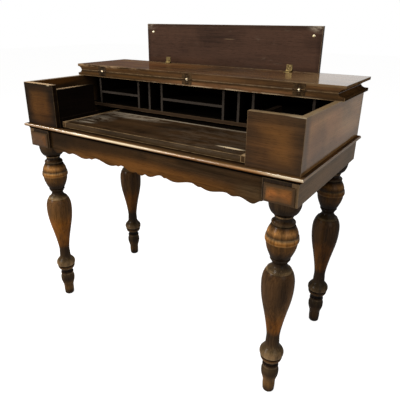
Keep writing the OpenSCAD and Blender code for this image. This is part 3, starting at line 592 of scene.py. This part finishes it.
def moulded_wood(name, along, zones, coat, seed, stretches=()):
    """Moulding with a painted highlight on its nose and painted shade in its cove."""
    shader = Shader(name)
    grain = Grain(shader, along, seed)
    share = shader.math("DIVIDE", shader.minus(shader.z, MOULDING_LOW), MOULDING_SPAN)
    colour = shader.ramp(share, [((z * MM - MOULDING_LOW) / MOULDING_SPAN, tint)
                                 for z, tint in zones])
    patina = shader.rise(grain.mottle, *MOULDING_PATINA_SPAN)
    colour = shader.mix(shader.times(patina, MOULDING_PATINA_SHARE), colour, RUBBED)
    nose = shader.times(shader.rise(shader.z, NOSE_LOW, NOSE_LOW + NOSE_LOW_FADE),
                        shader.fall(shader.z, NOSE_HIGH - NOSE_HIGH_FADE, NOSE_HIGH))
    # Painted highlight: pale and cream stretches along the upper nose
    for centre, reach, tint in stretches:
        offset = shader.math("ABSOLUTE", shader.plus(shader.x, -centre))
        here = shader.fall(offset, reach * STRETCH_CORE, reach)
        colour = shader.mix(shader.times(here, nose, STRETCH_SHARE), colour, tint)
    # Painted shade: the cove under the nose is darkened to near black
    cove = shader.fall(shader.z, COVE_TOP, COVE_TOP + COVE_FADE)
    colour = shader.mix(cove, colour, SOOT_AND_SHADE)
    light = shader.rise(grain.tone, *MOULDING_TONE_SPAN, MOULDING_DARKEST, MOULDING_LIGHTEST)
    colour = shader.mix(1.0, colour, light, "MULTIPLY")
    nicks = shader.pattern(MOULDING_NICKS)
    nicked = shader.rise(nicks, *MOULDING_NICKED_SPAN, 0.0, MOULDING_NICK_SHARE)
    colour = shader.mix(nicked, colour, DARK_STAIN)
    roughness = shader.plus(MOULDING_ROUGHNESS, shader.times(nicks, MOULDING_ROUGHER))
    shader.surface(colour, roughness, shader.plus(grain.fibre, nicks), *MOULDING_BUMPS)
    shader.varnish(shader.times(nose, coat))
    return shader.material


# Brass

# Span of the stain noise from the dull to the bright colour
TARNISH_SPAN = (0.35, 0.68)
# Three lid hinges stand at this pitch in metres, the middle one at 0
LID_HINGE_PITCH = 0.381
# Their middle knuckles get a painted highlight this far around the pin (and without a limit
# along it)
KNUCKLE_REACH = (10.0, 0.007, 0.0055)
# Distances in metres from a hinge's middle: where the painted highlight and the dark part fade
GLINT_SPAN = (0.0015, 0.0040)
DARK_SPAN = (0.004, 0.009)
DARK_SHARE = 0.75
# Span of the stain over which the painted highlight shows, and what is left of it where stained
SHINY_SPAN = (0.35, 0.50)
SHINY_LEAST = 0.3
# Roughness of clean brass, and what tarnish and scratches add
BRASS_ROUGHNESS = 0.24
TARNISH_ROUGHER = 0.2
MARKS_ROUGHER = 0.1
BRASS_BUMPS = (0.2, 0.0001)

BRASS = {
    "fall_hinge_": (TARNISH, OLD_GOLD),
    "fall_studs": (OLD_GOLD, BRIGHT_BRASS),
    "fall_screws": (TARNISH, OLD_GOLD),
    "lid_hinge_pins": (OLD_GOLD, BRIGHT_BRASS),
}
OTHER_BRASS = (DARK_BRASS, TARNISH)


def aged_brass(name, seed, dull, bright, knuckles=None):
    """Brass with brown tarnish, and a painted highlight on the middle knuckles of the lid
    hinges.
    """
    shader = Shader(name)
    shift = (seed, 0.4, 0.9)
    stain = shader.pattern(BRASS_STAIN, "X", shift)
    marks = shader.pattern(BRASS_MARKS, "X", shift)
    colour = shader.ramp(stain, list(zip(TARNISH_SPAN, (dull, bright))))
    if knuckles:
        along = shader.math("PINGPONG", shader.x, LID_HINGE_PITCH / 2)
        colour = shader.mix(shader.rise(along, *DARK_SPAN, DARK_SHARE, 0.0), colour, BLACKENED)
        # Painted highlight: the middle of each lid hinge's knuckle is coloured cream
        rubbed = shader.times(shader.fall(along, *GLINT_SPAN),
                              shader.rise(stain, *SHINY_SPAN, SHINY_LEAST))
        colour = shader.mix(shader.times(shader.near_point(knuckles, KNUCKLE_REACH), rubbed),
                            colour, CREAM)
    roughness = shader.plus(BRASS_ROUGHNESS, shader.times(stain, TARNISH_ROUGHER),
                            shader.times(marks, MARKS_ROUGHER))
    shader.surface(colour, roughness, marks, *BRASS_BUMPS)
    shader.bsdf.inputs["Metallic"].default_value = 1.0
    return shader.material


# Which finish each board has, and which way its grain runs

FRAME = Finish(BLACKENED, STAIN, RUBBED, glow_share=0.35, coat=0.12)
APRON = Finish(APRON_DARK, STAIN, RUBBED, glow_share=0.25, toned=0.012, toned_share=0.5,
               coat=0.05)
PLATE = Finish(STAIN, OLIVE, ORANGE, glow_share=0.45, toned=0.010, toned_share=0.8,
               worn=0.35, coat=0.15)
CHEEK = Finish(DARK_STAIN, CHEEK_BODY, RUBBED, glow_share=0.6, toned=0.05, toned_share=0.35,
               worn=0.25, coat=0.12, top=TOP_ARRIS)
# The left cheek is a darker copy of the right one, as painted shade
CHEEK_SHADED = Finish(BLACKENED, DARK_STAIN, RUBBED, glow_share=0.35, toned=0.05,
                      toned_share=0.5, worn=0.2, coat=0.08, top=BARE_WOOD)
# The right side panel is made light as painted light; the left one is the same wood darkened as
# painted shade
SIDE = Finish(SIDE_LIT_DARK, SIDE_LIT_BODY, SIDE_LIT_GLOW, glow_share=0.5, toned=0.03, toned_share=0.5,
              worn=0.3, rough=0.34, coat=0.3, scuff=0.10, top=TOP_ARRIS)
SIDE_SHADED = Finish(DARK_STAIN, STAIN, RUBBED, glow_share=0.5, toned=0.05, toned_share=0.4,
                     worn=0.3, rough=0.34, coat=0.2, scuff=0.06, top=TOP_ARRIS)
RAIL = Finish(OLIVE, RAIL_BODY, RAIL_BODY, glow_share=0.5, toned=0.01, toned_share=0.4,
              worn=0.3, rough=0.34, coat=0.14, scuff=0.06)
BACK = Finish(BLACKENED, DARK_STAIN, STAIN, glow_share=0.3, worn=0.2, coat=0.1, rough=0.5)
# The inside of the case is near black, a dark stain with painted shade; the fronts of shelves
# and pigeonhole bases keep a lighter colour where it isn't painted
INNER = Finish(INSIDE, INSIDE_LIGHT, INSIDE_LIGHT, toned=0.01, toned_share=0.2, worn=0.03,
               rough=0.5, coat=0.02)
NEST = Finish(SOOT_AND_SHADE, INSIDE, INSIDE, toned=0.01, toned_share=0.2, worn=0.0, rough=0.6,
              coat=0.0, front=SHELF_FRONT)
NEST_BASE = Finish(SOOT_AND_SHADE, INSIDE, INSIDE, toned=0.01, toned_share=0.2, worn=0.12, rough=0.6,
                   coat=0.0, front=BASE_FRONT)
TOP = Finish(DARK_STAIN, STAIN, RUBBED, glow_share=0.45, toned=0.012, toned_share=0.35,
             worn=0.35, rough=0.24, coat=0.3, scuff=0.06, flat_coat=True)
LID = Finish(DARK_STAIN, LID_BODY, RUBBED, glow_share=0.45, toned=0.012, toned_share=0.35,
             worn=0.35, rough=0.24, coat=0.88, scuff=0.08, dull=0.06, flat_coat=True)
FALL = Finish(FALL_DARK, FALL_BODY, FALL_BODY, glow_share=0.5, toned=0.02, toned_share=0.5,
              worn=0.35, rough=0.4, coat=0.12, scuff=0.06)
BED = Finish(BLACKENED, BED_BODY, STAIN, glow_share=0.35, toned=0.004, toned_share=0.3,
             worn=0.6, rough=0.4, coat=0.10, scuff=0.06)
REAR_BED = Finish(SOOT_AND_SHADE, INSIDE, INSIDE, worn=0.0, rough=0.6, coat=0.0)
BATTEN = Finish(OLIVE, BARE_WOOD, DUST, glow_share=0.6, toned=0.002, toned_share=0.2,
                worn=0.7, rough=0.45, coat=0.05, front=STAIN)

BOARDS = {
    "corner_block_": (FRAME, "Z"),
    "side_rail_": (RAIL, "Y"),
    "back_rail": (BACK, "X"),
    "apron_front": (APRON, "X"),
    "corner_plate_": (PLATE, "X"),
    "case_bottom": (INNER, "X"),
    "side_panel_right": (SIDE, "Y"),
    "side_panel_left": (SIDE_SHADED, "Y"),
    "front_cheek_right": (CHEEK, "X"),
    "front_cheek_left": (CHEEK_SHADED, "X"),
    "back_panel": (BACK, "X"),
    "partition_": (INNER, "Y"),
    "bed_guide_": (INNER, "Y"),
    "bed_runner_": (INNER, "Y"),
    "pigeonhole_": (NEST_BASE, "X"),
    "divider_": (NEST, "Y"),
    "shelf_": (NEST, "X"),
    "fixed_top": (TOP, "X"),
    "lid_board": (LID, "X"),
    "fall_board": (FALL, "X"),
    "writing_board": (BED, "X"),
    "rear_bed_board": (REAR_BED, "X"),
    "bed_batten_": (BATTEN, "Y"),
}


# Where boards are rubbed, bleached, scratched or chipped, and where light and shade are painted
# on them, from the corners and the middle of
# their boxes: centre and reach in metres, strength and colour

def writing_board_patches(low, middle, high):
    return [
        Patch((high.x - 0.10, middle.y, high.z), (0.30, 0.30, 0.03), 0.07, DUST, True),
        Patch((low.x + 0.13, high.y - 0.03, high.z), (0.19, 0.05, 0.03), 0.55, DUST, True),
        Patch((low.x + 0.03, middle.y - 0.02, high.z), (0.10, 0.09, 0.03), 0.5, DUST, True),
        Patch((middle.x, high.y, high.z), (0.60, 0.014, 0.01), 1.0, DUST),
        Patch((middle.x, low.y, middle.z), (0.90, 0.008, 0.04), 0.35, OLIVE),
        Patch((high.x - 0.055, low.y + 0.045, high.z), (0.055, 0.008, 0.01), 1.0, CREAM),
        Patch((low.x + 0.055, low.y + 0.045, high.z), (0.045, 0.008, 0.01), 1.0, DUST),
    ]


def bed_batten_patches(low, middle, high):
    # Painted shade: each batten is darkened towards its back end
    return [Patch((middle.x, high.y, high.z), (0.1, 0.20, 0.1), 1.0, SOOT_AND_SHADE)]


def fall_board_patches(low, middle, high):
    return [
        Patch((low.x + 0.01, low.y, high.z - 0.004), (0.05, 0.03, 0.02), 0.6, DUST, True),
        Patch((high.x - 0.01, low.y, high.z - 0.004), (0.05, 0.03, 0.02), 0.7, DUST, True),
        Patch((0.02, low.y, high.z - 0.047), (0.03, 0.004, 0.0015), 0.5, BARE_WOOD),
        Patch((0.0, low.y, low.z), (1.2, 0.03, 0.12), 0.35, FALL_DARK),
    ]


def left_cheek_patches(low, middle, high):
    return [
        Patch((middle.x, low.y, middle.z - 0.01), (0.08, 0.02, 0.085), 0.22, ORANGE),
        Patch((high.x - 0.022, low.y, high.z), (0.012, 0.02, 0.006), 1.0, CREAM),
    ]


def right_cheek_patches(low, middle, high):
    return [
        Patch((middle.x - 0.01, low.y, middle.z - 0.01), (0.11, 0.02, 0.10), 0.22, ORANGE),
        Patch((high.x, low.y, high.z), (0.06, 0.03, 0.004), 0.9, CREAM),
    ]


def apron_patches(low, middle, high):
    return [
        # Painted shadow: the apron is darkened at its top towards the left end, under the waist
        # moulding
        Patch((low.x, low.y, high.z), (0.60, 0.03, 0.075), 0.55, BLACKENED),
        Patch((0.02, low.y, low.z + 0.014), (0.46, 0.03, 0.045), 0.42, ORANGE),
        Patch((0.38, low.y, low.z + 0.020), (0.08, 0.03, 0.04), 0.5, OLIVE),
    ]


def left_plate_patches(low, middle, high):
    return [Patch(middle, (0.08, 0.02, 0.05), 0.4, RED_STAIN)]


def right_plate_patches(low, middle, high):
    return [
        Patch((low.x + 0.024, low.y, middle.z - 0.004), (0.024, 0.02, 0.026), 0.8, COPPER),
        Patch((high.x - 0.022, low.y, middle.z), (0.026, 0.02, 0.024), 0.55, COPPER),
        Patch((middle.x, low.y, low.z + 0.012), (0.040, 0.02, 0.010), 0.5, OLIVE),
    ]


def right_side_patches(low, middle, high):
    return [
        Patch((high.x, low.y + 0.10, middle.z - 0.01), (0.02, 0.10, 0.07), 0.4, RED_STAIN),
        Patch((high.x, low.y, middle.z), (0.02, 0.045, 0.30), 0.7, DARK_STAIN),
        Patch((high.x, middle.y, low.z + 0.02), (0.02, 0.6, 0.03), 0.5, STAIN),
        Patch((high.x, high.y - 0.10, middle.z + 0.02), (0.02, 0.16, 0.09), 0.3, BARE_WOOD),
    ]


def left_side_patches(low, middle, high):
    # Painted light: the upper front of the inner face is lightened to orange, ending where the
    # lid's shadow falls
    return [Patch((high.x, low.y + 0.12, high.z - 0.006), (0.02, 0.16, 0.022), 0.6, ORANGE)]


def fixed_top_patches(low, middle, high):
    return [
        Patch((0.12, low.y, low.z + 0.006), (0.36, 0.012, 0.012), 0.7, RUSSET),
        Patch((0.0, low.y, low.z), (1.4, 0.006, 0.003), 0.22, PALE),
        Patch((0.14, low.y, low.z), (0.42, 0.006, 0.005), 0.4, CREAM, True),
    ]


def lid_board_patches(low, middle, high):
    return [
        Patch((low.x + 0.2, high.y - 0.02, high.z), (0.3, 0.1, 0.02), 0.3, PALE),
        # Painted reflection: the right end of the lid's top is lightened
        Patch((high.x, middle.y, high.z), (0.26, 0.9, 0.01), 0.9, PALE),
        Patch((low.x, middle.y, high.z), (0.6, 0.5, 0.01), 0.7, RED_STAIN, True),
        Patch((low.x + 0.05, low.y, high.z), (0.4, 0.018, 0.01), 0.5, BARE_WOOD, True),
    ]


# The front strip of the case bottom is left without the inside's painted shade
def case_bottom_patches(low, middle, high):
    return [Patch((middle.x, low.y, high.z), (1.2, 0.10, 0.02), 1.0, STAIN)]


def partition_patches(low, middle, high):
    return [Patch((middle.x, low.y + 0.03, high.z), (0.02, 0.12, 0.003), 0.9, BARE_WOOD)]


PATCHES = {
    "writing_board": writing_board_patches,
    "bed_batten_": bed_batten_patches,
    "fall_board": fall_board_patches,
    "front_cheek_left": left_cheek_patches,
    "front_cheek_right": right_cheek_patches,
    "apron_front": apron_patches,
    "corner_plate_left": left_plate_patches,
    "corner_plate_right": right_plate_patches,
    "side_panel_right": right_side_patches,
    "side_panel_left": left_side_patches,
    "fixed_top": fixed_top_patches,
    "lid_board": lid_board_patches,
    "case_bottom": case_bottom_patches,
    "partition_left": partition_patches,
}


# Dressing the pieces

ARRIS_WIDTH = 0.8 * MM
ARRIS_ANGLE = math.radians(40)


def first_match(table, name, otherwise=None):
    for start, entry in table.items():
        if name.startswith(start):
            return entry
    return otherwise


def local_patches(name):
    low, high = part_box(name)
    middle = (low + high) / 2
    patches = first_match(PATCHES, name)
    return patches(low, middle, high) if patches else []


def soften_edges(piece):
    """Rounds the arrises that a real board has lost to use."""
    bevel = piece.modifiers.new("arris", "BEVEL")
    bevel.width = ARRIS_WIDTH
    bevel.segments = 2
    bevel.limit_method = "ANGLE"
    bevel.angle_limit = ARRIS_ANGLE
    bevel.harden_normals = False


def material_for(name, seed):
    if name in LEGS:
        return turned_wood(name + "_wood", LEGS[name], seed)
    if name == "waist_moulding_front":
        return moulded_wood(name + "_wood", "X", FRONT_MOULDING_ZONES, FRONT_MOULDING_COAT,
                            seed, PAINTED_HIGHLIGHT_STRETCHES)
    if name.startswith("waist_moulding_"):
        return moulded_wood(name + "_wood", "Y", SIDE_MOULDING_ZONES, SIDE_MOULDING_COAT, seed)
    board = first_match(BOARDS, name)
    if board:
        finish, along = board
        low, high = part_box(name)
        return wood(name + "_wood", finish, along, low, high, seed, local_patches(name))
    dull, bright = first_match(BRASS, name, OTHER_BRASS)
    knuckles = None
    if name.startswith("lid_hinge_"):
        low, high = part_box("lid_hinge_pins")
        knuckles = (low + high) / 2
    return aged_brass(name + "_brass", seed, dull, bright, knuckles)


for seed, (name, piece) in enumerate(sorted(nodes.items()), start=1):
    piece.data.materials.clear()
    piece.data.materials.append(material_for(name, seed))
    if first_match(BOARDS, name):
        soften_edges(piece)


# Studio

FLOOR_SIZE = 30
FLOOR_COLOUR = (0.4, 0.4, 0.4, 1)
WHITE = (1, 1, 1, 1)
# What the floor adds to its own light for the camera, so that it shows white outside the shadow
FLOOR_GLOW = 0.92
# The world as a light, which is weaker than the white that it shows
SKY_COLOUR = (1.0, 0.98, 0.95, 1)
SKY_STRENGTH = 0.17


def seen_rays(tree):
    """1 for rays that show the surroundings: the camera's, reflected and refracted ones."""
    path = tree.nodes.new("ShaderNodeLightPath")
    seen = path.outputs["Is Camera Ray"]
    for kind in ("Is Glossy Ray", "Is Transmission Ray"):
        either = tree.nodes.new("ShaderNodeMath")
        either.operation = "MAXIMUM"
        tree.links.new(seen, either.inputs[0])
        tree.links.new(path.outputs[kind], either.inputs[1])
        seen = either.outputs[0]
    return seen


def pale_stage(name):
    """Plain white for the camera and in reflections, and a surface that holds the shadow."""
    material = bpy.data.materials.new(name)
    material.use_nodes = True
    tree = material.node_tree
    surface = tree.nodes["Principled BSDF"]
    surface.inputs["Base Color"].default_value = FLOOR_COLOUR
    surface.inputs["Roughness"].default_value = 0.9
    surface.inputs["Specular IOR Level"].default_value = 0.0
    surface.inputs["Emission Color"].default_value = WHITE
    glow = tree.nodes.new("ShaderNodeMath")
    glow.operation = "MULTIPLY"
    glow.inputs[1].default_value = FLOOR_GLOW
    tree.links.new(seen_rays(tree), glow.inputs[0])
    tree.links.new(glow.outputs[0], surface.inputs["Emission Strength"])
    return material


def add_floor():
    bpy.ops.mesh.primitive_plane_add(size=FLOOR_SIZE, location=(0, 0, 0))
    floor = bpy.context.object
    floor.name = "studio_floor"
    floor.data.materials.append(pale_stage("studio_white"))


def background(tree, colour, strength):
    node = tree.nodes.new("ShaderNodeBackground")
    node.inputs["Color"].default_value = colour
    node.inputs["Strength"].default_value = strength
    return node.outputs[0]


def add_world():
    """White behind the object and in its reflections, softer as a light."""
    world = bpy.data.worlds.new("studio")
    bpy.context.scene.world = world
    world.use_nodes = True
    tree = world.node_tree
    tree.nodes.clear()
    output = tree.nodes.new("ShaderNodeOutputWorld")
    choose = tree.nodes.new("ShaderNodeMixShader")
    tree.links.new(seen_rays(tree), choose.inputs[0])
    tree.links.new(background(tree, SKY_COLOUR, SKY_STRENGTH), choose.inputs[1])
    tree.links.new(background(tree, WHITE, 1.0), choose.inputs[2])
    tree.links.new(choose.outputs[0], output.inputs["Surface"])


def add_lamp(name, place, target, size, watts, colour):
    """Area lamp turned to a target. Place, target and size are in metres."""
    data = bpy.data.lights.new(name, "AREA")
    data.shape = "RECTANGLE"
    data.size, data.size_y = size
    data.energy = watts
    data.color = colour
    lamp = bpy.data.objects.new(name, data)
    bpy.context.scene.collection.objects.link(lamp)
    lamp.location = place
    lamp.rotation_euler = (Vector(target) - Vector(place)).to_track_quat("-Z", "Y").to_euler()


def add_lamps():
    middle = (0, 0, 0.6)
    front_moulding = (-0.33, -0.26, 0.71)
    right_top = (0.3, -0.2, 0.7)
    add_lamp("key", (-1.7, -2.7, 1.9), middle, (0.9, 0.9), 62, (1.0, 0.97, 0.92))
    add_lamp("moulding", (-2.2, -0.8, 2.2), front_moulding, (0.5, 0.5), 28, (1.0, 0.96, 0.90))
    add_lamp("overhead", (-0.2, -0.95, 2.5), right_top, (0.5, 0.4), 16, (1.0, 0.98, 0.94))
    add_lamp("fill", (2.6, -1.4, 1.5), middle, (1.4, 1.4), 15, (1.0, 0.97, 0.93))
    add_lamp("back", (1.2, 2.6, 2.0), middle, (2.0, 1.0), 14, (1.0, 0.98, 0.95))


# The photograph's viewpoint: where the eye is, how it turns and how far it sees
EYE = (0.8209, -1.16715, 1.0513)
TURN = math.radians(33.75)
DOWN = math.radians(22.34)
ROLL = math.radians(0.436)
SENSOR_WIDTH = 36
LENS = 38.63
SHIFT = (0.00995, -0.0076)


def add_camera():
    data = bpy.data.cameras.new("camera")
    data.sensor_width = SENSOR_WIDTH
    data.lens = LENS
    data.shift_x, data.shift_y = SHIFT
    camera = bpy.data.objects.new("camera", data)
    bpy.context.scene.collection.objects.link(camera)
    turned = Matrix.Rotation(TURN, 4, "Z") @ Matrix.Rotation(math.pi / 2 - DOWN, 4, "X")
    camera.matrix_world = Matrix.Translation(EYE) @ turned @ Matrix.Rotation(ROLL, 4, "Z")
    bpy.context.scene.camera = camera


add_floor()
add_world()
add_lamps()
add_camera()
bpy.context.scene.view_settings.view_transform = "Standard"
